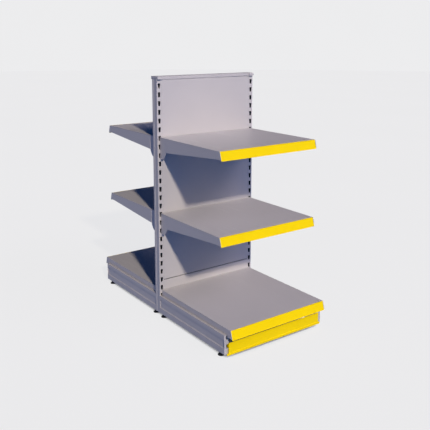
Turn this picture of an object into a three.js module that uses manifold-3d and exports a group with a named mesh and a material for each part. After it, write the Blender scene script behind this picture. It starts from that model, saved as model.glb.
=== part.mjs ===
// Double-sided gondola shelving unit, one bay: two slotted posts on four base legs, tray-shaped
// back panels on both sides, a base deck and two bracketed shelves on each side, ticket strips,
// kickplates, levelling feet and a top cap.
//
// Millimetres. X runs along the bay, the front faces -Y and Z is up. The origin is on the floor,
// under the middle of the bay.
import * as THREE from 'three';
import { mergeVertices } from 'three/addons/utils/BufferGeometryUtils.js';
import Module from 'manifold-3d';

const wasm = await Module();
wasm.setup();

// ---- Driving dimensions ----

// Clearance between pieces that touch or rest on each other
const GAP = 0.3;

// Bay and posts
const BAY = 665;                 // post centre to post centre
const POST_X = BAY / 2;
const POST_WIDTH = 30;           // along X
const POST_DEPTH = 50;           // along Y
const POST_WALL = 2;
const POST_FOOT = 22;            // underside of posts and legs above the floor
const POST_TOP = 1422;
const SWAGE_HALF = 10;           // shallow pressed channel down the middle of each side wall
const SWAGE_SLOPE = 2;
const SWAGE_DEPTH = 1.5;
const FACE = POST_DEPTH / 2;     // distance of the post's slotted face from the middle plane
const POST_INNER = POST_X - POST_WIDTH / 2;
const POST_OUTER = POST_X + POST_WIDTH / 2;

// Slots for the bracket hooks, on the front and the rear face
const SLOT_PITCH = 50;
const SLOT_COUNT = 27;
const SLOT_TOP_CENTRE = 1381;
const SLOT_HEIGHT = 28;
const SLOT_TOP_WIDTH = 16;
const SLOT_FOOT_WIDTH = 12;

// Windows in the posts' inner side walls, for the tongues of panels and tie beams
const WINDOW_HALF_HEIGHT = 12;
const WINDOW_HALF_WIDTH = 3.5;
const PANEL_WINDOW_Y = 17;
const BEAM_WINDOW_Y = 5;

// Back panels
const PANEL_BOTTOM = 26;
const PANEL_PITCHES = { base: 200, lower: 400, middle: 400, upper: 400 };
const PANEL_SEAM = 4;
const PANEL_SHEET = 1.5;
const PANEL_FLANGE = 12;
const PANEL_TONGUE_INSET = 50;

// Tie beams between the posts, inside the back panels
const BEAM_HALF_DEPTH = 10;
const BEAM_HEIGHT = 60;
const BEAM_SHEET = 2;
const BEAM_FEET = { lower: 40, upper: 1330 };
const BEAM_TONGUE_DROP = 20;     // window centre below the top of the beam

// Top cap
const CAP_TOP = 1435;
const CAP_HALF_DEPTH = 28;       // over the panels
const CAP_END_HALF_DEPTH = 35;   // over each post
const CAP_HALF_LENGTH = 348;
const CAP_END_LENGTH = 32;
const CAP_SHEET = 2;
const CAP_LIP = 18;

// Base legs
const LEG_TOP = 130;
const LEG_REACH = 643;           // from the post's face to the leg's front end
const LEG_SHEET = 2;
const LEG_RECESS = 4;            // web set back from the upper and lower rails
const LEG_RAIL_FOOT = 104;
const LEG_SILL_TOP = 60;
const LEG_SILL_EDGE = 54;
const LEG_RETURN = 15;
const LEG_GUSSET = 60;           // closes the inner side of the channel behind the front plate

// Levelling feet
const FOOT_REACH = { inner: 20, outer: 595 };
const PAD_RADIUS = 17.5;
const PAD_HEIGHT = 6;
const HUB_RADIUS = 9.5;
const HUB_TOP = 16;
const STUD_RADIUS = 6;
const STUD_TOP = 66;
const STUD_HOLE_RADIUS = 6.5;
const NUT_ACROSS_FLATS = 19;
const NUT_HEIGHT = 10;
const ROUND_SIDES = 16;

// Decks, shelves and their brackets
const DECK_TOP = 164;
const DECK_REACH = 675;
const DECK_LIP = 34;
const DECK_NOTCH_PITCH = 50;
const DECK_NOTCH_COUNT = 12;
const DECK_NOTCH_LENGTH = 12;
const DECK_NOTCH_DEPTH = 6;
const DECK_NOTCH_INSET = 1.6;    // less than the lip's thickness
const SHELF_TOPS = { lower: 637, upper: 1087 };
const SHELF_REACH = 577;
const SHELF_SHEET = 2;
const SHELF_HALF = BAY / 2 - 0.2;
const NOSE_HEIGHT = 44;          // leaning front of a deck or shelf
const NOSE_RETURN = 12;
const CHEEK_SHEET = 2;           // closes each end of the nose
const SHELF_CHEEK_BACK = 547.5;
const TRAY_FLANGE_X = 314.3;     // inner face of a shelf's side flanges
const BRACKET_INNER = 328;       // bracket plate, from the middle of the bay
const BRACKET_OUTER = 331;
const BRACKET_SKIN = 332.2;      // pressed-out face ahead of the bracket's rear strip
const BRACKET_SHEET = 2;
const BRACKET_STRIP = 62;
const BRACKET_FRONT = 547;
const HOOK_NECK = 14;
const HOOK_DROP = 8;
const HOOK_LIP = 4.7;

// Ticket strips and kickplates
const STRIP_SHEET = 1.5;
const STRIP_HEIGHT = 50;
const STRIP_LEAN = 14;
const STRIP_BEAD = 1.2;          // rolled edges that would hold a paper ticket
const STRIP_FACE = GAP + STRIP_SHEET + STRIP_BEAD;
const KICK_REACH = 652;
const KICK_HALF = 324;
const KICK_TOP = 85;
const KICK_FOOT = 16;
const KICK_SHEET = 1.5;
const KICK_LIP_HALF = 334.5;
const KICK_LIP_TOP = 28;

// ---- Finishes ----

const paint = (color, roughness, metalness = 0) =>
  () => new THREE.MeshStandardMaterial({ color, roughness, metalness });
const greyEnamel = paint(0xb7b0b4, 0.5, 0.1);
const yellowPlastic = paint(0xfad900, 0.45);
const yellowEnamel = paint(0xf2d000, 0.5, 0.1);
const blackPlastic = paint(0x111214, 0.6);
const zincSteel = paint(0x9a9da1, 0.4, 0.8);

// ---- Solids ----

// A closed three.js geometry as a solid that can be joined and cut
function toSolid(geometry) {
  geometry.deleteAttribute('normal');
  geometry.deleteAttribute('uv');
  const merged = mergeVertices(geometry, 1e-4);
  return new wasm.Manifold(new wasm.Mesh({
    numProp: 3,
    vertProperties: new Float32Array(merged.attributes.position.array),
    triVerts: new Uint32Array(merged.index.array),
  }));
}

// A solid back as a three.js geometry
function toGeometry(solid) {
  const mesh = solid.getMesh();
  const geometry = new THREE.BufferGeometry();
  geometry.setAttribute('position', new THREE.BufferAttribute(new Float32Array(mesh.vertProperties), 3));
  geometry.setIndex(new THREE.BufferAttribute(new Uint32Array(mesh.triVerts), 1));
  geometry.computeVertexNormals();
  return geometry;
}

const join = (...solids) => solids.reduce((whole, piece) => whole.add(piece));
const cut = (solid, ...tools) => tools.reduce((rest, tool) => rest.subtract(tool), solid);

function box([x0, x1], [y0, y1], [z0, z1]) {
  const geometry = new THREE.BoxGeometry(x1 - x0, y1 - y0, z1 - z0);
  geometry.translate((x0 + x1) / 2, (y0 + y1) / 2, (z0 + z1) / 2);
  return toSolid(geometry);
}

function extrude(outline, depth) {
  const shape = new THREE.Shape(outline.map(([u, v]) => new THREE.Vector2(u, v)));
  return new THREE.ExtrudeGeometry(shape, { depth, bevelEnabled: false });
}

// An outline in Y and Z, drawn out along X
function alongX(outline, [x0, x1]) {
  const turn = new THREE.Matrix4().makeBasis(
    new THREE.Vector3(0, 1, 0), new THREE.Vector3(0, 0, 1), new THREE.Vector3(1, 0, 0));
  return toSolid(extrude(outline, x1 - x0).applyMatrix4(turn).translate(x0, 0, 0));
}

// An outline in X and Z, drawn out along Y
function alongY(outline, [y0, y1]) {
  return toSolid(extrude(outline, y1 - y0).rotateX(Math.PI / 2).translate(0, y1, 0));
}

// An outline in X and Y, drawn out along Z
function alongZ(outline, [z0, z1]) {
  return toSolid(extrude(outline, z1 - z0).translate(0, 0, z0));
}

function cylinder(radius, [x, y], [z0, z1], sides = ROUND_SIDES) {
  const geometry = new THREE.CylinderGeometry(radius, radius, z1 - z0, sides);
  return toSolid(geometry.rotateX(Math.PI / 2).translate(x, y, (z0 + z1) / 2));
}

// Closed outline of a bent sheet: the path, and the same path moved to its left by the thickness
function bentSheet(path, thickness) {
  const direction = (a, b) => {
    const length = Math.hypot(b[0] - a[0], b[1] - a[1]);
    return [(b[0] - a[0]) / length, (b[1] - a[1]) / length];
  };
  const offset = path.map((point, i) => {
    const before = direction(path[Math.max(i - 1, 0)], path[Math.max(i, 1)]);
    const after = direction(path[Math.min(i, path.length - 2)], path[Math.min(i + 1, path.length - 1)]);
    const sum = [-before[1] - after[1], before[0] + after[0]];
    const scale = 2 * thickness / (sum[0] ** 2 + sum[1] ** 2);
    return [point[0] + sum[0] * scale, point[1] + sum[1] * scale];
  });
  return [...path, ...offset.reverse()];
}

// The same piece for the other end of the bay
function mirrorX(geometry) {
  const mirrored = geometry.clone().scale(-1, 1, 1);
  const index = mirrored.index.array;
  for (let i = 0; i < index.length; i += 3) {
    [index[i], index[i + 1]] = [index[i + 1], index[i]];
  }
  mirrored.computeVertexNormals();
  return mirrored;
}

function named(name, geometry, material) {
  const mesh = new THREE.Mesh(geometry, material());
  mesh.name = name;
  return mesh;
}

// Distances from the post's face are reaches: the front half lies at negative Y
const atReach = (reach) => -FACE - reach;
const reaches = (near, far) => [atReach(far), atReach(near)];

// ---- Posts ----

function postSection(inset) {
  const halfX = POST_WIDTH / 2 - inset;
  const halfY = POST_DEPTH / 2 - inset;
  const swageX = halfX - SWAGE_DEPTH;
  const side = [[halfX, -halfY], [halfX, -SWAGE_HALF - SWAGE_SLOPE], [swageX, -SWAGE_HALF],
    [swageX, SWAGE_HALF], [halfX, SWAGE_HALF + SWAGE_SLOPE], [halfX, halfY]];
  return [...side, ...side.map(([x, y]) => [-x, -y])];
}

// Left post, with its inner side wall towards +X
function postGeometry() {
  const span = [POST_FOOT, POST_TOP];
  let post = cut(alongZ(postSection(0), span), alongZ(postSection(POST_WALL), [span[0] - 1, span[1] + 1]));
  for (let i = 0; i < SLOT_COUNT; i += 1) {
    const centre = SLOT_TOP_CENTRE - i * SLOT_PITCH;
    const foot = centre - SLOT_HEIGHT / 2;
    const top = centre + SLOT_HEIGHT / 2;
    const slot = [[-SLOT_FOOT_WIDTH / 2, foot], [SLOT_FOOT_WIDTH / 2, foot],
      [SLOT_TOP_WIDTH / 2, top], [-SLOT_TOP_WIDTH / 2, top]];
    post = cut(post, alongY(slot, [-FACE - 1, FACE + 1]));
  }
  const window = (y, z) => box([POST_WIDTH / 2 - POST_WALL - SWAGE_DEPTH - 1, POST_WIDTH / 2 + 1],
    [y - WINDOW_HALF_WIDTH, y + WINDOW_HALF_WIDTH], [z - WINDOW_HALF_HEIGHT, z + WINDOW_HALF_HEIGHT]);
  for (const z of panelTongueHeights()) {
    post = cut(post, window(-PANEL_WINDOW_Y, z), window(PANEL_WINDOW_Y, z));
  }
  for (const z of Object.values(BEAM_FEET).map(beamTongueHeight)) {
    post = cut(post, window(-BEAM_WINDOW_Y, z), window(BEAM_WINDOW_Y, z));
  }
  return toGeometry(post);
}

// Tongue that goes through a window in the left post's inner wall and hangs behind it
function windowTongue(root, wallBack, y, thickness, z) {
  const foot = z - WINDOW_HALF_HEIGHT + GAP;
  const lip = wallBack - GAP;
  const top = foot + WINDOW_HALF_HEIGHT;
  const outline = [[root, foot], [root, top], [lip - HOOK_LIP, top],
    [lip - HOOK_LIP, foot - HOOK_DROP], [lip, foot - HOOK_DROP], [lip, foot]];
  return alongY(outline.reverse(), [y - thickness / 2, y + thickness / 2]);
}

// ---- Back panels: shallow trays with hanging tongues on their side flanges ----

function panelSpans() {
  let foot = PANEL_BOTTOM;
  return Object.entries(PANEL_PITCHES).map(([level, pitch]) => {
    const span = [foot + PANEL_SEAM / 2, foot + pitch - PANEL_SEAM / 2];
    foot += pitch;
    return { level, span };
  });
}

function tongueHeights([foot, top]) {
  return [foot + PANEL_TONGUE_INSET, top - PANEL_TONGUE_INSET];
}

function panelTongueHeights() {
  return panelSpans().flatMap(({ span }) => tongueHeights(span));
}

function panelGeometry(span) {
  const half = POST_INNER - GAP;
  const depth = [-FACE, -FACE + PANEL_FLANGE];
  const hollow = box([-half + PANEL_SHEET, half - PANEL_SHEET],
    [-FACE + PANEL_SHEET, -FACE + PANEL_FLANGE + 1],
    [span[0] + PANEL_SHEET, span[1] - PANEL_SHEET]);
  let panel = cut(box([-half, half], depth, span), hollow);
  for (const z of tongueHeights(span)) {
    const tongue = windowTongue(-half + PANEL_SHEET, -POST_INNER - POST_WALL, -PANEL_WINDOW_Y, 3, z);
    panel = join(panel, tongue, toSolid(mirrorX(toGeometry(tongue))));
  }
  return toGeometry(panel);
}

// ---- Tie beams: inverted channels with end plates and tongues ----

function beamTongueHeight(foot) {
  return foot + BEAM_HEIGHT - BEAM_TONGUE_DROP;
}

function beamGeometry(foot) {
  const half = POST_INNER - GAP;
  const top = foot + BEAM_HEIGHT;
  const path = [[BEAM_HALF_DEPTH, foot], [BEAM_HALF_DEPTH, top], [-BEAM_HALF_DEPTH, top],
    [-BEAM_HALF_DEPTH, foot]];
  let beam = alongX(bentSheet(path, BEAM_SHEET), [-half, half]);
  const wallBack = -POST_INNER - POST_WALL - SWAGE_DEPTH;
  const endPlate = box([-half, -half + BEAM_SHEET], [-BEAM_HALF_DEPTH, BEAM_HALF_DEPTH], [foot, top]);
  const tongues = [-BEAM_WINDOW_Y, BEAM_WINDOW_Y].map((y) =>
    windowTongue(-half + BEAM_SHEET, wallBack, y, 4, beamTongueHeight(foot)));
  const end = join(endPlate, ...tongues);
  beam = join(beam, end, toSolid(mirrorX(toGeometry(end))));
  return toGeometry(beam);
}

// ---- Top cap: a channel over the panels and a wider one over each post, with plugs inside ----

function capGeometry() {
  const lipFoot = CAP_TOP - CAP_LIP;
  const channel = (halfDepth, span) => {
    const path = [[halfDepth, lipFoot], [halfDepth, CAP_TOP], [-halfDepth, CAP_TOP], [-halfDepth, lipFoot]];
    return alongX(bentSheet(path, CAP_SHEET), span);
  };
  const endDepth = [-CAP_END_HALF_DEPTH, CAP_END_HALF_DEPTH];
  const endInner = -CAP_HALF_LENGTH + CAP_END_LENGTH;
  const height = [POST_TOP + GAP, CAP_TOP];
  const plugDepth = [-POST_DEPTH / 2 + POST_WALL + 3, POST_DEPTH / 2 - POST_WALL - 3];
  const plugHeight = [POST_TOP - 14, CAP_TOP - 1];
  const shoulder = [-CAP_END_HALF_DEPTH, -CAP_HALF_DEPTH + CAP_SHEET - 0.5];
  const end = join(
    channel(CAP_END_HALF_DEPTH, [-CAP_HALF_LENGTH, endInner]),
    box([-CAP_HALF_LENGTH, -CAP_HALF_LENGTH + CAP_SHEET], endDepth, height),
    box([endInner - CAP_SHEET, endInner], shoulder, [lipFoot, CAP_TOP]),
    box([endInner - CAP_SHEET, endInner], shoulder.map((y) => -y).reverse(), [lipFoot, CAP_TOP]),
    box([-POST_X - 8, -POST_X - 6], plugDepth, plugHeight),
    box([-POST_X + 6, -POST_X + 8], plugDepth, plugHeight),
    box([-CAP_HALF_LENGTH, -POST_X + 8], [-1, 1], [CAP_TOP - 4, CAP_TOP - 1]),
  );
  const middle = channel(CAP_HALF_DEPTH, [endInner - CAP_SHEET, -endInner + CAP_SHEET]);
  return toGeometry(join(middle, end, toSolid(mirrorX(toGeometry(end)))));
}

// ---- Hooks that go into the slots of the posts ----

// Outline of one hook in Y and Z, from the edge of its plate, in the slot centred at height z
function slotHook(z, neck = HOOK_NECK) {
  const foot = z - SLOT_HEIGHT / 2 + GAP;
  const wallBack = atReach(-POST_WALL - GAP);
  const plate = atReach(GAP);
  const lip = wallBack + HOOK_LIP;
  return [[plate - 1, foot], [wallBack, foot], [wallBack, foot - HOOK_DROP], [lip, foot - HOOK_DROP],
    [lip, foot + neck], [plate - 1, foot + neck]];
}

// ---- Base legs: one bent channel between a rear plate with hooks and a pierced front plate ----

function legGeometry() {
  const outer = -POST_OUTER;
  const inner = -POST_INNER;
  const web = outer + LEG_RECESS;
  const path = [[inner, LEG_TOP - LEG_RETURN], [inner, LEG_TOP], [outer, LEG_TOP], [outer, LEG_RAIL_FOOT],
    [web, LEG_RAIL_FOOT], [web, LEG_SILL_TOP], [outer, LEG_SILL_EDGE], [outer, POST_FOOT], [inner, POST_FOOT],
    [inner, POST_FOOT + LEG_RETURN]];
  const width = [outer, inner];
  const height = [POST_FOOT, LEG_TOP];
  let leg = join(
    alongY(bentSheet(path, LEG_SHEET), reaches(GAP, LEG_REACH)),
    box(width, reaches(GAP, GAP + LEG_SHEET), height),
    box(width, reaches(LEG_REACH - LEG_SHEET, LEG_REACH), height),
    box([inner - LEG_SHEET, inner], reaches(LEG_REACH - LEG_GUSSET, LEG_REACH), height),
  );
  const slotCentre = (row) => SLOT_TOP_CENTRE - row * SLOT_PITCH;
  const hookPlate = [-POST_X - 1.5, -POST_X + 1.5];
  leg = join(
    leg,
    alongX(slotHook(slotCentre(SLOT_COUNT - 2), 10), hookPlate),
    alongX(slotHook(slotCentre(SLOT_COUNT - 1)), hookPlate),
  );
  const frontWindow = (x, z) => box(x, reaches(LEG_REACH - LEG_SHEET - 1, LEG_REACH + 1), z);
  leg = cut(leg, frontWindow([-334, -320], [55, 77]), frontWindow([-336, -324], [104, 125]));
  for (const reach of Object.values(FOOT_REACH)) {
    leg = cut(leg, cylinder(STUD_HOLE_RADIUS, [-POST_X, atReach(reach)], [POST_FOOT - 1, POST_FOOT + 4]));
  }
  return toGeometry(leg);
}

// ---- Levelling feet and their nuts ----

function footGeometry() {
  const profile = [[0, 0], [PAD_RADIUS - 1.5, 0], [PAD_RADIUS, 1.5], [PAD_RADIUS, PAD_HEIGHT - 2],
    [PAD_RADIUS - 3, PAD_HEIGHT], [HUB_RADIUS, PAD_HEIGHT], [HUB_RADIUS, HUB_TOP], [STUD_RADIUS, HUB_TOP],
    [STUD_RADIUS, STUD_TOP], [0, STUD_TOP]];
  const lathe = new THREE.LatheGeometry(profile.map(([r, z]) => new THREE.Vector2(r, z)), ROUND_SIDES);
  return toGeometry(toSolid(lathe.rotateX(Math.PI / 2)));
}

function nutGeometry() {
  const span = [POST_FOOT + LEG_SHEET + GAP, POST_FOOT + LEG_SHEET + GAP + NUT_HEIGHT];
  const hexagon = cylinder(NUT_ACROSS_FLATS / 2 / Math.cos(Math.PI / 6), [0, 0], span, 6);
  return toGeometry(cut(hexagon, cylinder(STUD_HOLE_RADIUS, [0, 0], [span[0] - 1, span[1] + 1])));
}

// ---- Base deck: a tray on the legs, its side lips notched along their upper edge ----

// Channel welded under a tray, open at both ends
function hatStiffener(near, top, half) {
  const [y0, y1] = reaches(near, near + 56);
  const depth = 22;
  const path = [[y0, top], [y0, top - depth], [y1, top - depth], [y1, top]];
  return alongX(bentSheet(path, SHELF_SHEET), [-half, half]);
}

// How far the leaning front stands out at a height below the top of the tray
const leanAt = (drop) => STRIP_LEAN * drop / STRIP_HEIGHT;

// Front sheet of a tray, leaning out to a return along its foot
function traySheetNose(reach, top) {
  const foot = top - NOSE_HEIGHT;
  const footReach = reach + leanAt(NOSE_HEIGHT);
  const path = [[atReach(reach - 4), top], [atReach(reach), top], [atReach(footReach), foot],
    [atReach(footReach - NOSE_RETURN), foot]];
  return alongX(bentSheet(path, SHELF_SHEET), [-SHELF_HALF + 1, SHELF_HALF - 1]);
}

// Left end plate of a tray, from an outline that starts along its top and back; its front edge
// stands level with the face of the ticket strip
function cheek(reach, top, backOutline) {
  const front = [[atReach(reach + STRIP_FACE), top],
    [atReach(reach + STRIP_FACE + leanAt(NOSE_HEIGHT)), top - NOSE_HEIGHT]];
  return alongX([...backOutline, ...front], [-SHELF_HALF, -SHELF_HALF + CHEEK_SHEET]);
}

function deckGeometry() {
  const lipFoot = DECK_TOP - DECK_LIP + GAP;
  const noseFoot = DECK_TOP - NOSE_HEIGHT;
  const full = [-SHELF_HALF, SHELF_HALF];
  const sideLip = cheek(DECK_REACH, DECK_TOP, [[atReach(LEG_REACH + 14), noseFoot],
    [atReach(LEG_REACH + 6), lipFoot], [atReach(0.5), lipFoot], [atReach(0.5), DECK_TOP]]);
  const locatingTab = box([-331, -324], reaches(LEG_REACH + 0.6, LEG_REACH + 2.6), [112, DECK_TOP - 1]);
  const left = join(sideLip, locatingTab);
  let deck = join(
    box(full, reaches(0.5, DECK_REACH), [DECK_TOP - SHELF_SHEET, DECK_TOP]),
    left,
    toSolid(mirrorX(toGeometry(left))),
    traySheetNose(DECK_REACH, DECK_TOP),
    box([-316, 316], reaches(0.5, 2.5), [140, DECK_TOP]),
    hatStiffener(200, DECK_TOP - 1, 326),
    hatStiffener(430, DECK_TOP - 1, 326),
  );
  for (let i = 0; i < DECK_NOTCH_COUNT; i += 1) {
    const near = 50 + i * DECK_NOTCH_PITCH;
    const span = reaches(near, near + DECK_NOTCH_LENGTH);
    const height = [DECK_TOP - DECK_NOTCH_DEPTH, DECK_TOP + 1];
    const depth = [SHELF_HALF - DECK_NOTCH_INSET, SHELF_HALF + 1];
    deck = cut(deck, box(depth.map((x) => -x).reverse(), span, height), box(depth, span, height));
  }
  return toGeometry(deck);
}

// ---- Shelves: trays that lie on the brackets' top flanges ----

function shelfGeometry(top) {
  const full = [-SHELF_HALF, SHELF_HALF];
  const flangeOuter = TRAY_FLANGE_X + SHELF_SHEET;
  const sideFlange = box([-flangeOuter, -TRAY_FLANGE_X], reaches(0.5, SHELF_REACH - 1), [top - 26, top]);
  const endCheek = cheek(SHELF_REACH, top,
    [[atReach(SHELF_CHEEK_BACK), top - NOSE_HEIGHT], [atReach(SHELF_CHEEK_BACK), top]]);
  const left = join(sideFlange, endCheek);
  return toGeometry(join(
    box(full, reaches(0.5, SHELF_REACH), [top - SHELF_SHEET, top]),
    left,
    toSolid(mirrorX(toGeometry(left))),
    traySheetNose(SHELF_REACH, top),
    box([-flangeOuter, flangeOuter], reaches(0.5, 2.5), [top - 30, top]),
    hatStiffener(250, top - 1, 311),
  ));
}

// ---- Shelf brackets: tapering plates with three hooks, an upper and a lower flange ----

function bracketGeometry(top) {
  const plateTop = top - SHELF_SHEET - GAP;
  const front = atReach(BRACKET_FRONT);
  const strip = atReach(BRACKET_STRIP);
  const rear = atReach(GAP);
  const knee = [[atReach(BRACKET_STRIP), top - 83], [atReach(58), top - 93], [atReach(49), top - 108],
    [atReach(39), top - 119], [atReach(25), top - 125], [rear, top - 125]];
  const plate = [[rear, plateTop], [front, plateTop], [front, top - 44], ...knee];
  const skin = [[strip, plateTop], [front, plateTop], [front, top - 44], [strip, top - 83]];
  const width = [-BRACKET_OUTER, -BRACKET_INNER];
  const flangeEdge = -TRAY_FLANGE_X - SHELF_SHEET - 0.5;
  const slotRows = [0, 1, 2].map((row) => top - 6 - row * SLOT_PITCH);
  return toGeometry(join(
    alongX(plate, width),
    alongX(skin, [-BRACKET_SKIN, -BRACKET_INNER - 1]),
    box([-BRACKET_INNER - 1, flangeEdge], reaches(20, BRACKET_FRONT - 6),
      [plateTop - BRACKET_SHEET, plateTop]),
    alongX([[strip, top - 83], [front, top - 44], [front, top - 42], [strip, top - 81]],
      [-BRACKET_INNER - 1, flangeEdge]),
    ...slotRows.map((z) => alongX(slotHook(z), width)),
  ));
}

// ---- Ticket strips: a leaning leaf with a bead along both edges and a hook under the nose ----

function ticketStripGeometry(reach, top) {
  const point = (proud, drop) => [atReach(reach + GAP + proud + leanAt(drop)), top - drop];
  const face = STRIP_SHEET;
  const bead = STRIP_SHEET + STRIP_BEAD;
  const leaf = [point(0, 0), point(bead, 0), point(bead, 2.4), point(face, 3.6),
    point(face, STRIP_HEIGHT - 4.2), point(bead, STRIP_HEIGHT - 3), point(bead, STRIP_HEIGHT),
    point(0, STRIP_HEIGHT)];
  const hookTop = NOSE_HEIGHT + GAP;
  const hook = [point(0.5, hookTop), point(0.5, hookTop + 1.5),
    point(-8, hookTop + 1.5), point(-8, hookTop)];
  const span = [-SHELF_HALF + CHEEK_SHEET + GAP, SHELF_HALF - CHEEK_SHEET - GAP];
  return toGeometry(join(alongX(leaf, span), alongX(hook, span)));
}

// ---- Kickplates: a flat plate with a wide foot lip, and two tongues in the legs' front plates ----

function kickplateGeometry() {
  const tongue = box([-KICK_HALF, -KICK_HALF + 3.5], reaches(LEG_REACH - 8, KICK_REACH - 1), [58, 74]);
  return toGeometry(join(
    box([-KICK_HALF, KICK_HALF], reaches(KICK_REACH - KICK_SHEET, KICK_REACH), [KICK_FOOT, KICK_TOP]),
    box([-KICK_LIP_HALF, KICK_LIP_HALF], reaches(KICK_REACH - KICK_SHEET, KICK_REACH + 2),
      [KICK_FOOT, KICK_LIP_TOP]),
    tongue,
    toSolid(mirrorX(toGeometry(tongue))),
  ));
}

// ---- Assembly ----

// One side of the unit. The rear side is the front side turned half a turn, so the piece that
// is at -X in the side's own frame is the left one in front and the right one behind.
function buildSide(side, hands) {
  const group = new THREE.Group();
  const pair = (name, geometry, material) => {
    group.add(named(`${name}_${side}_${hands[0]}`, geometry, material));
    group.add(named(`${name}_${side}_${hands[1]}`, mirrorX(geometry), material));
  };
  for (const { level, span } of panelSpans()) {
    group.add(named(`back_panel_${side}_${level}`, panelGeometry(span), greyEnamel));
  }
  pair('base_leg', legGeometry(), greyEnamel);
  for (const [place, reach] of Object.entries(FOOT_REACH)) {
    hands.forEach((hand, i) => {
      const x = i === 0 ? -POST_X : POST_X;
      const foot = named(`foot_${place}_${side}_${hand}`, footGeometry(), blackPlastic);
      const nut = named(`foot_nut_${place}_${side}_${hand}`, nutGeometry(), zincSteel);
      foot.position.set(x, atReach(reach), 0);
      nut.position.set(x, atReach(reach), 0);
      group.add(foot, nut);
    });
  }
  group.add(named(`base_deck_${side}`, deckGeometry(), greyEnamel));
  group.add(named(`base_ticket_strip_${side}`, ticketStripGeometry(DECK_REACH, DECK_TOP), yellowPlastic));
  group.add(named(`kickplate_${side}`, kickplateGeometry(), yellowEnamel));
  for (const [level, top] of Object.entries(SHELF_TOPS)) {
    pair(`shelf_bracket_${level}`, bracketGeometry(top), greyEnamel);
    group.add(named(`shelf_${level}_${side}`, shelfGeometry(top), greyEnamel));
    group.add(named(`ticket_strip_${level}_${side}`, ticketStripGeometry(SHELF_REACH, top), yellowPlastic));
  }
  return group;
}

const unit = new THREE.Group();
const post = postGeometry();
const posts = { post_left: [-POST_X, post], post_right: [POST_X, mirrorX(post)] };
for (const [name, [x, geometry]] of Object.entries(posts)) {
  const mesh = named(name, geometry, greyEnamel);
  mesh.position.set(x, 0, 0);
  unit.add(mesh);
}
for (const [level, foot] of Object.entries(BEAM_FEET)) {
  unit.add(named(`tie_beam_${level}`, beamGeometry(foot), greyEnamel));
}
unit.add(named('top_cap', capGeometry(), greyEnamel));
unit.add(buildSide('front', ['left', 'right']));
const rear = buildSide('rear', ['right', 'left']);
rear.rotation.z = Math.PI;
unit.add(rear);

export default unit;
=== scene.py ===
import bmesh
import bpy
from math import cos, pi, radians, sin
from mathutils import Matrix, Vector


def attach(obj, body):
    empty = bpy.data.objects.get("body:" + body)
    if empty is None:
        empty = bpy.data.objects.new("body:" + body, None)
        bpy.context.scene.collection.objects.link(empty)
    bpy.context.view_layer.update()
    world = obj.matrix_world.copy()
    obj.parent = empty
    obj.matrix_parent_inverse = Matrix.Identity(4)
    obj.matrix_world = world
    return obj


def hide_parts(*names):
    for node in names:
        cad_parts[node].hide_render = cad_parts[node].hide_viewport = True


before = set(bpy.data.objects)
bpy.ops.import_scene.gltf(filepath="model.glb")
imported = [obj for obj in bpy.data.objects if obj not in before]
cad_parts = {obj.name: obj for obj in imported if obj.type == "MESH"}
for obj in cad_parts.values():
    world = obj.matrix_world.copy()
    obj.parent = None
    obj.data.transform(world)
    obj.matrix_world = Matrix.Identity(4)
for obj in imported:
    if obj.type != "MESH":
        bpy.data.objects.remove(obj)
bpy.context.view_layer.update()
sides = ("front", "rear")
hands = ("left", "right")

# ---- Camera ----
# It stands to the left of the front at about eye height and looks slightly down.
camera_place = Vector((-2.209, -3.161, 1.650))
camera_heading = radians(35.87)
camera_dip = radians(9.96)
camera_lens = 53.8
camera_shift = -0.15
camera = bpy.data.objects.new("camera", bpy.data.cameras.new("camera"))
bpy.context.scene.collection.objects.link(camera)
bpy.context.scene.camera = camera
camera.location = camera_place
camera.rotation_euler = (pi / 2 - camera_dip, 0, -camera_heading)
camera.data.lens = camera_lens
camera.data.shift_y = camera_shift
bpy.context.scene.view_settings.view_transform = "Standard"


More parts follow.
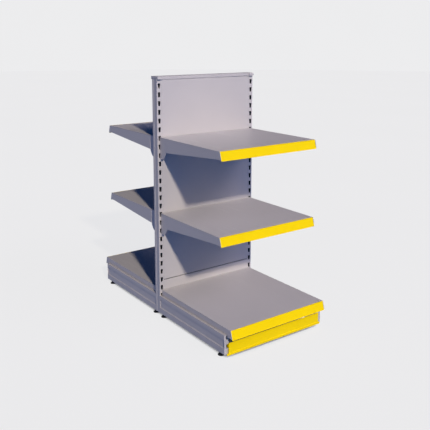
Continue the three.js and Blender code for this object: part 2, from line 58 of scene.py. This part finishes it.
# ---- Posts and tie beams ----
# The posts are 30 x 50 mm steel tubes with a shallow pressed channel down each side and rows of
# punched slots front and back. The tie beams are folded channels hung between them. All of it is
# powder coated light grey, except inside the tubes, where the coating doesn't reach; there the bare
# steel is painted near black, as painted shade.
class Link:
    """An output of a material's nodes. Arithmetic on it adds Math nodes to the same material."""

    def __init__(self, tree, socket=None):
        self.tree = tree
        self.socket = socket

    def node(self, kind, sockets, output=0, stops=(), **settings):
        """A node of the material: its settings first, then the values and links of its sockets."""
        made = self.tree.nodes.new("ShaderNode" + kind)
        for name, value in settings.items():
            setattr(made, name, value)
        for stop, (place, colour) in zip(made.color_ramp.elements if stops else (), stops):
            stop.position = place
            stop.color = colour
        for name, value in sockets.items():
            if isinstance(value, Link):
                self.tree.links.new(value.socket, made.inputs[name])
            else:
                made.inputs[name].default_value = value
        return Link(self.tree, made.outputs[output])

    def math(self, operation, *values):
        return self.node("Math", dict(enumerate(values)), operation=operation)

    def __add__(self, other):
        return self.math("ADD", self, other)

    def __sub__(self, other):
        return self.math("SUBTRACT", self, other)

    def __rsub__(self, other):
        return self.math("SUBTRACT", other, self)

    def __mul__(self, other):
        return self.math("MULTIPLY", self, other)

    __radd__ = __add__
    __rmul__ = __mul__

    def above(self, low, high):
        """0 below low, 1 above high, and a straight slope between."""
        return self.node("MapRange", {"Value": self, "From Min": low, "From Max": high}, clamp=True)

    def tint(self, colour, other):
        """The first colour where this is 0, and the other where it is 1."""
        return self.node("Mix", {0: self, 6: colour, 7: other}, output=2, data_type="RGBA")

    def grain(self, size, detail=2.0, stretch=(1, 1, 1)):
        """Noise on these coordinates, with grains of about this size in metres."""
        scaled = self.node("VectorMath", {0: self, 1: stretch}, operation="MULTIPLY")
        return self.node("TexNoise", {"Vector": scaled, "Scale": 1 / size, "Detail": detail})

    def openness(self, reach, samples):
        """1 in the open, and less where other faces stand within this reach in metres."""
        return self.node("AmbientOcclusion", {"Distance": reach}, output="AO", samples=samples)

    def bump(self, height):
        """This as a height map, whose full range is this many metres."""
        return self.node("Bump", {"Height": self, "Strength": 1.0, "Distance": height})


def new_material(name):
    """An empty material with its shader, the piece's coordinates in metres, and its surface normal."""
    material = bpy.data.materials.new(name)
    material.use_nodes = True
    start = Link(material.node_tree)
    place = start.node("TexCoord", {}, output="Object")
    facing = start.node("NewGeometry", {}, output="Normal")
    return material, material.node_tree.nodes["Principled BSDF"], place, facing


def connect(shader, **links):
    """Links what varies over the surface: Base_Color, Roughness, Metallic or Normal."""
    for name, link in links.items():
        link.tree.links.new(link.socket, shader.inputs[name.replace("_", " ")])


def tube_interior(place):
    """1 on the inner faces of the posts, and 0 on their outer faces."""
    from_middle = place.math("ABSOLUTE", place.node("SeparateXYZ", {"Vector": place}, output="X"))
    across = place.math("ABSOLUTE", from_middle - post_x)
    along = place.math("ABSOLUTE", place.node("SeparateXYZ", {"Vector": place}, output="Y"))
    return 1 - place.math("MAXIMUM", across.above(0.01315, 0.01335), along.above(0.0240, 0.0244))


def powder_coat(name, colour, worn, roughness, soil, bare_and_shaded=None, specular=0.5):
    """Baked enamel: a fine orange peel, faint clouding, rub marks on top faces, dust near the floor and
    painted shade in the joints and narrow gaps. Where the mask it is given is 1, the steel is uncoated
    and painted near black as shade."""
    material, shader, place, facing = new_material(name)
    shader.inputs["Specular IOR Level"].default_value = specular
    height = place.node("SeparateXYZ", {"Vector": place}, output="Z")
    upward = facing.node("SeparateXYZ", {"Vector": facing}, output="Z").above(0.8, 0.95)
    clouds = place.grain(0.35, detail=3.0).above(0.35, 0.7)
    rubs = place.grain(0.02, detail=4.0, stretch=(1, 0.06, 1)).above(0.6, 0.72) * upward
    specks = place.grain(0.004, detail=1.0).above(0.70, 0.78)
    dust = (1 - height.above(0.0, 0.10)) * place.grain(0.05, detail=4.0).above(0.42, 0.75) * soil
    light = tuple(min(1.0, channel * 1.02) for channel in colour)
    dark = tuple(channel * 0.98 for channel in colour)
    base = clouds.tint((*dark, 1), (*light, 1))
    base = (rubs * 0.25).tint(base, (*worn, 1))
    base = (specks * 0.12).tint(base, (*worn, 1))
    base = dust.tint(base, (0.16, 0.14, 0.12, 1))
    # Painted shade: faces within 8 mm of other faces, as in seams and joints, are darkened to near
    # black.
    joint_shade = 1 - place.openness(0.008, samples=8).above(0.2, 0.6)
    base = (joint_shade * 0.85).tint(base, (0.010, 0.012, 0.018, 1))
    # Painted shade: inside the tubes the bare steel is painted near black, standing in for the shade in
    # there.
    if bare_and_shaded:
        base = bare_and_shaded(place).tint(base, (0.012, 0.011, 0.011, 1))
    peel = place.grain(0.0016, detail=2.0) + place.grain(0.006, detail=1.0) * 0.6
    connect(shader, Base_Color=base, Normal=peel.bump(0.00006),
            Roughness=roughness + clouds * 0.05 - rubs * 0.10 + dust * 0.5)
    return material


def soften(piece, radius, segments=2):
    """Makes whole flat faces of a CAD piece's triangles and gives its edges a small radius."""
    piece.data.polygons.foreach_set("use_smooth", [True] * len(piece.data.polygons))
    weld = piece.modifiers.new("shared corners", "WELD")
    weld.merge_threshold = 0.00001
    flat = piece.modifiers.new("flat faces", "DECIMATE")
    flat.decimate_type = "DISSOLVE"
    flat.angle_limit = radians(0.5)
    edges = piece.modifiers.new("rounded edges", "BEVEL")
    edges.width = radius
    edges.segments = segments
    edges.limit_method = "ANGLE"
    edges.angle_limit = radians(22)
    edges.use_clamp_overlap = True
    piece.modifiers.new("even shading", "WEIGHTED_NORMAL").keep_sharp = True


def finish_cad(name, material, radius, segments=2):
    """A CAD piece whose shape is right: rounded edges and its finish."""
    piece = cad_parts[name]
    soften(piece, radius, segments)
    piece.data.materials.clear()
    piece.data.materials.append(material)
    return piece


post_x = 0.3325
grey = (0.53, 0.505, 0.52)
grey_worn = (0.60, 0.58, 0.58)
grey_enamel = powder_coat("grey powder coat", grey, grey_worn, 0.42, soil=0.22)
tube_enamel = powder_coat("grey coated tube", grey, grey_worn, 0.42, soil=0.22, bare_and_shaded=tube_interior)
for hand in hands:
    finish_cad(f"post_{hand}", tube_enamel, 0.0008)
for level in ("lower", "upper"):
    finish_cad(f"tie_beam_{level}", grey_enamel, 0.0009)

# ---- Back panels ----
# Each is a shallow tray of 1.5 mm steel, folded on all four sides, powder coated grey. Tongues on
# its side flanges hang in windows in the posts.
for side in sides:
    for level in ("base", "lower", "middle", "upper"):
        finish_cad(f"back_panel_{side}_{level}", grey_enamel, 0.0007)

# ---- Top cap ----
# A folded grey channel over the top edges of the panels, with a wider end over each post. Plugs
# welded inside it drop into the open ends of the posts.
finish_cad("top_cap", grey_enamel, 0.0009)

# ---- Base legs ----
# Pressed grey channels with a recessed web, hooked into the lowest slots of the posts. The front
# plate of each is pierced for the clips of the kickplate and the locating tab of the deck.
for side in sides:
    for hand in hands:
        finish_cad(f"base_leg_{side}_{hand}", grey_enamel, 0.0008)

# ---- Base decks and shelves ----
# Folded grey steel trays. The decks lie on the legs and have notches along their side edges for
# dividers. The shelves lie on the inner flanges of their brackets.
for side in sides:
    finish_cad(f"base_deck_{side}", grey_enamel, 0.0009)
    for level in ("lower", "upper"):
        finish_cad(f"shelf_{level}_{side}", grey_enamel, 0.0009)

# ---- Shelf brackets ----
# Tapering pressed plates of 3 mm steel, powder coated grey, with three hooks each that hang in the
# slots of the post.
for side in sides:
    for level in ("lower", "upper"):
        for hand in hands:
            finish_cad(f"shelf_bracket_{level}_{side}_{hand}", grey_enamel, 0.0007)

# ---- Kickplates ----
# Flat steel plates, powder coated yellow, with a wider lip along the floor. Two clips behind each
# push into the front plates of the base legs.
yellow = (0.95, 0.69, 0.0)
yellow_worn = (0.95, 0.74, 0.12)
yellow_enamel = powder_coat("yellow powder coat", yellow, yellow_worn, 0.45, soil=0.05, specular=0.15)
for side in sides:
    finish_cad(f"kickplate_{side}", yellow_enamel, 0.0006)

# ---- Ticket strips ----
# Extruded yellow plastic strips, clipped on the leaning nose of a shelf or deck between its grey
# cheeks. Each has a bead along both edges and a lip hooked under the nose.


def extruded_plastic(name, colour):
    """Satin plastic with faint die lines along the strip and a slight unevenness of colour."""
    material, shader, place, _ = new_material(name)
    shader.inputs["Specular IOR Level"].default_value = 0.15
    lines = place.grain(0.0012, detail=2.0, stretch=(0.004, 1, 1))
    tone = place.grain(0.12, detail=2.0).above(0.3, 0.7)
    deep = tuple(channel * 0.97 for channel in colour)
    base = tone.tint((*deep, 1), (*colour, 1))
    connect(shader, Base_Color=base, Roughness=0.34 + lines * 0.12, Normal=lines.bump(0.00003))
    return material


yellow_plastic = extruded_plastic("yellow strip plastic", (0.93, 0.68, 0.0))
strips = [f"base_ticket_strip_{side}" for side in sides]
strips += [f"ticket_strip_{level}_{side}" for side in sides for level in ("lower", "upper")]
for strip in strips:
    finish_cad(strip, yellow_plastic, 0.0005)

# ---- Levelling feet ----
# A black moulded pad with a ribbed rim and a hexagonal hub, on a zinc plated M12 stud. The stud is
# screwed through a nut above the bottom flange of the leg.
foot_reaches = {"inner": 0.045, "outer": 0.620}


def moulded_plastic(name, colour):
    """Black moulded plastic with a fine spark-eroded grain."""
    material, shader, place, _ = new_material(name)
    grain = place.grain(0.0007, detail=2.0)
    dust = place.grain(0.006, detail=4.0).above(0.5, 0.8)
    base = (dust * 0.3).tint((*colour, 1), (0.06, 0.058, 0.055, 1))
    connect(shader, Base_Color=base, Roughness=0.5 + grain * 0.2, Normal=grain.bump(0.00005))
    return material


def plated_steel(name, colour):
    """Bright zinc plating: metal with a faint mottle of the crystals."""
    material, shader, place, _ = new_material(name)
    mottle = place.grain(0.003, detail=3.0).above(0.3, 0.7)
    dull = tuple(channel * 0.85 for channel in colour)
    shader.inputs["Metallic"].default_value = 1.0
    connect(shader, Base_Color=mottle.tint((*dull, 1), (*colour, 1)), Roughness=0.28 + mottle * 0.15)
    return material


def turned(name, rows, segments, material):
    """A closed body built of rings from its foot up. Each row is a height and a radius by angle."""
    shape = bmesh.new()
    rings = []
    for height, radius in rows:
        angles = [2 * pi * i / segments for i in range(segments)]
        rings.append([shape.verts.new((radius(a) * cos(a), radius(a) * sin(a), height)) for a in angles])
    for lower, upper in zip(rings, rings[1:]):
        for i in range(segments):
            j = (i + 1) % segments
            shape.faces.new((lower[i], lower[j], upper[j], upper[i]))
    shape.faces.new(rings[0][::-1])
    shape.faces.new(rings[-1])
    data = bpy.data.meshes.new(name)
    shape.to_mesh(data)
    shape.free()
    data.materials.append(material)
    data.polygons.foreach_set("use_smooth", [True] * len(data.polygons))
    data.set_sharp_from_angle(angle=radians(35))
    return data


def level_row(height, radius):
    """A plain circle."""
    return height, lambda angle: radius


def ribbed_row(height, radius):
    """A circle with 32 grip ribs."""
    return height, lambda angle: radius - 0.0005 * (0.5 + 0.5 * cos(32 * angle)) ** 0.5


def hexagon_row(height, apothem):
    """A hexagon with its corners cut back to the hub's radius."""
    return height, lambda angle: min(0.0094, apothem / cos((angle + pi / 6) % (pi / 3) - pi / 6))


def thread_row(height):
    """A cut across the stud's thread, which fades out at its upper end."""
    depth = thread_depth * min(1.0, (stud_top - height) / 0.0015)
    turns = height / thread_pitch
    return height, lambda angle: stud_core + depth * abs(2 * ((turns - angle / (2 * pi)) % 1) - 1)


black_plastic = moulded_plastic("black foot plastic", (0.012, 0.012, 0.014))
zinc_steel = plated_steel("zinc plating", (0.62, 0.64, 0.66))
stud_core = 0.0051
stud_foot = 0.0155
stud_top = 0.066
thread_depth = 0.0008
thread_pitch = 0.00175
thread_row_step = 0.00029

pad_rows = [level_row(0.0, 0.0158), level_row(0.0004, 0.0167), ribbed_row(0.0012, 0.0174)]
pad_rows += [ribbed_row(0.0040, 0.0174), level_row(0.0052, 0.0160), level_row(0.0060, 0.0142)]
pad_rows += [level_row(0.0061, 0.0105), hexagon_row(0.0066, 0.0082), hexagon_row(0.0152, 0.0082)]
pad_rows += [level_row(0.0160, 0.0076), level_row(0.0160, 0.0062)]
pad_mesh = turned("foot pad", pad_rows, 128, black_plastic)
stud_row_count = int((stud_top - stud_foot) / thread_row_step)
stud_rows = [thread_row(stud_foot + thread_row_step * i) for i in range(stud_row_count)]
stud_mesh = turned("foot stud", stud_rows, 24, zinc_steel)


def foot_piece(name, mesh, body, place):
    """A pad or a stud, which stands for the foot of the frame together with the other."""
    piece = bpy.data.objects.new(name, mesh)
    bpy.context.scene.collection.objects.link(piece)
    piece.location = place
    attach(piece, body)
    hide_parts(body)


for side, along in (("front", -1), ("rear", 1)):
    for hand, across in (("left", -1), ("right", 1)):
        for spot, reach in foot_reaches.items():
            body = f"foot_{spot}_{side}_{hand}"
            place = (across * post_x, along * reach, 0)
            foot_piece(f"{body}_pad", pad_mesh, body, place)
            foot_piece(f"{body}_stud", stud_mesh, body, place)
            finish_cad(f"foot_nut_{spot}_{side}_{hand}", zinc_steel, 0.0004)

# ---- Studio ----
# A pale floor that runs into a pale dome, one warm soft-edged key light from the front left, and a
# blue sky that is darker behind, with softer light from the left, from above on the right and from
# the floor behind.


def stage_material(name, colour, reflectance, glow, painted_shadow=False):
    """A plain pale surface that gives off most of its own light. It can carry a painted shadow: near
    black where something covers it.
    """
    material, shader, place, _ = new_material(name)
    tone = place.grain(2.5, detail=1.0)
    base = tone.tint((*[channel * 0.985 for channel in colour], 1), (*colour, 1))
    if painted_shadow:
        # Painted shadow: the floor is darkened to near black where the unit covers it within 0.6 m.
        base = place.openness(0.6, samples=12).above(0.05, 0.30).tint((0.012, 0.014, 0.018, 1), base)
    shade = base.node("Mix", {0: 1 - reflectance, 6: base, 7: (0, 0, 0, 1)}, output=2, data_type="RGBA")
    connect(shader, Base_Color=shade, Emission_Color=base)
    shader.inputs["Emission Strength"].default_value = glow
    shader.inputs["Roughness"].default_value = 1.0
    shader.inputs["Specular IOR Level"].default_value = 0.0
    return material


def stage_piece(name, mesh_maker, material):
    """A part of the studio. Only the camera sees it, so it neither lights nor shades the unit."""
    data = bpy.data.meshes.new(name)
    shape = bmesh.new()
    mesh_maker(shape)
    shape.to_mesh(data)
    shape.free()
    data.polygons.foreach_set("use_smooth", [True] * len(data.polygons))
    data.materials.append(material)
    made = bpy.data.objects.new(name, data)
    bpy.context.scene.collection.objects.link(made)
    made.visible_diffuse = False
    made.visible_glossy = False
    made.visible_shadow = False
    return made


studio_radius = 30.0
studio_tone = (0.85, 0.85, 0.86)
floor_material = stage_material("studio floor", studio_tone, 0.10, 0.912, painted_shadow=True)
dome_material = stage_material("studio dome", studio_tone, 0.0, 1.0)
stage_piece("studio_floor", lambda shape: bmesh.ops.create_circle(
    shape, cap_ends=True, radius=studio_radius, segments=96), floor_material)
stage_piece("studio_dome", lambda shape: bmesh.ops.create_uvsphere(
    shape, u_segments=96, v_segments=48, radius=studio_radius), dome_material)

key = bpy.data.objects.new("key light", bpy.data.lights.new("key light", "SUN"))
key.data.angle = radians(3.0)
key.data.energy = 2.75
key.data.color = (1.0, 0.89, 0.72)
key_travel = Vector((0.241, 0.813, -0.531))
key.rotation_euler = key_travel.to_track_quat("-Z", "Y").to_euler()
bpy.context.scene.collection.objects.link(key)

world = bpy.data.worlds.new("studio sky")
world.use_nodes = True
bpy.context.scene.world = world
sky = Link(world.node_tree)
view = sky.node("TexCoord", {}, output="Generated")
ahead = 0 - view.node("SeparateXYZ", {"Vector": view}, output="Y")
leftward = 0 - view.node("SeparateXYZ", {"Vector": view}, output="X")
climb = view.node("SeparateXYZ", {"Vector": view}, output="Z")
sky_colour = ahead.above(-0.1, 0.8).tint((0.0, 0.012, 0.06, 1), (0.0, 0.10, 0.34, 1))
from_left = leftward.above(0.6, 1.0) * (1 - climb.above(0.1, 0.5))
sky_colour = from_left.tint(sky_colour, (0.36, 0.36, 0.53, 1))
from_floor = (0 - ahead).above(0.1, 0.7) * (0 - climb).above(-0.05, 0.15)
sky_colour = from_floor.tint(sky_colour, (0.26, 0.33, 0.52, 1))
from_above = climb.above(0.48, 0.58) * (1 - climb.above(0.66, 0.78)) * ahead.above(0.30, 0.45)
from_above = from_above * (0 - leftward).above(-0.2, 0.2)
sky_colour = from_above.tint(sky_colour, (4.8, 4.4, 5.0, 1))
world.node_tree.links.new(sky_colour.socket, world.node_tree.nodes["Background"].inputs["Color"])
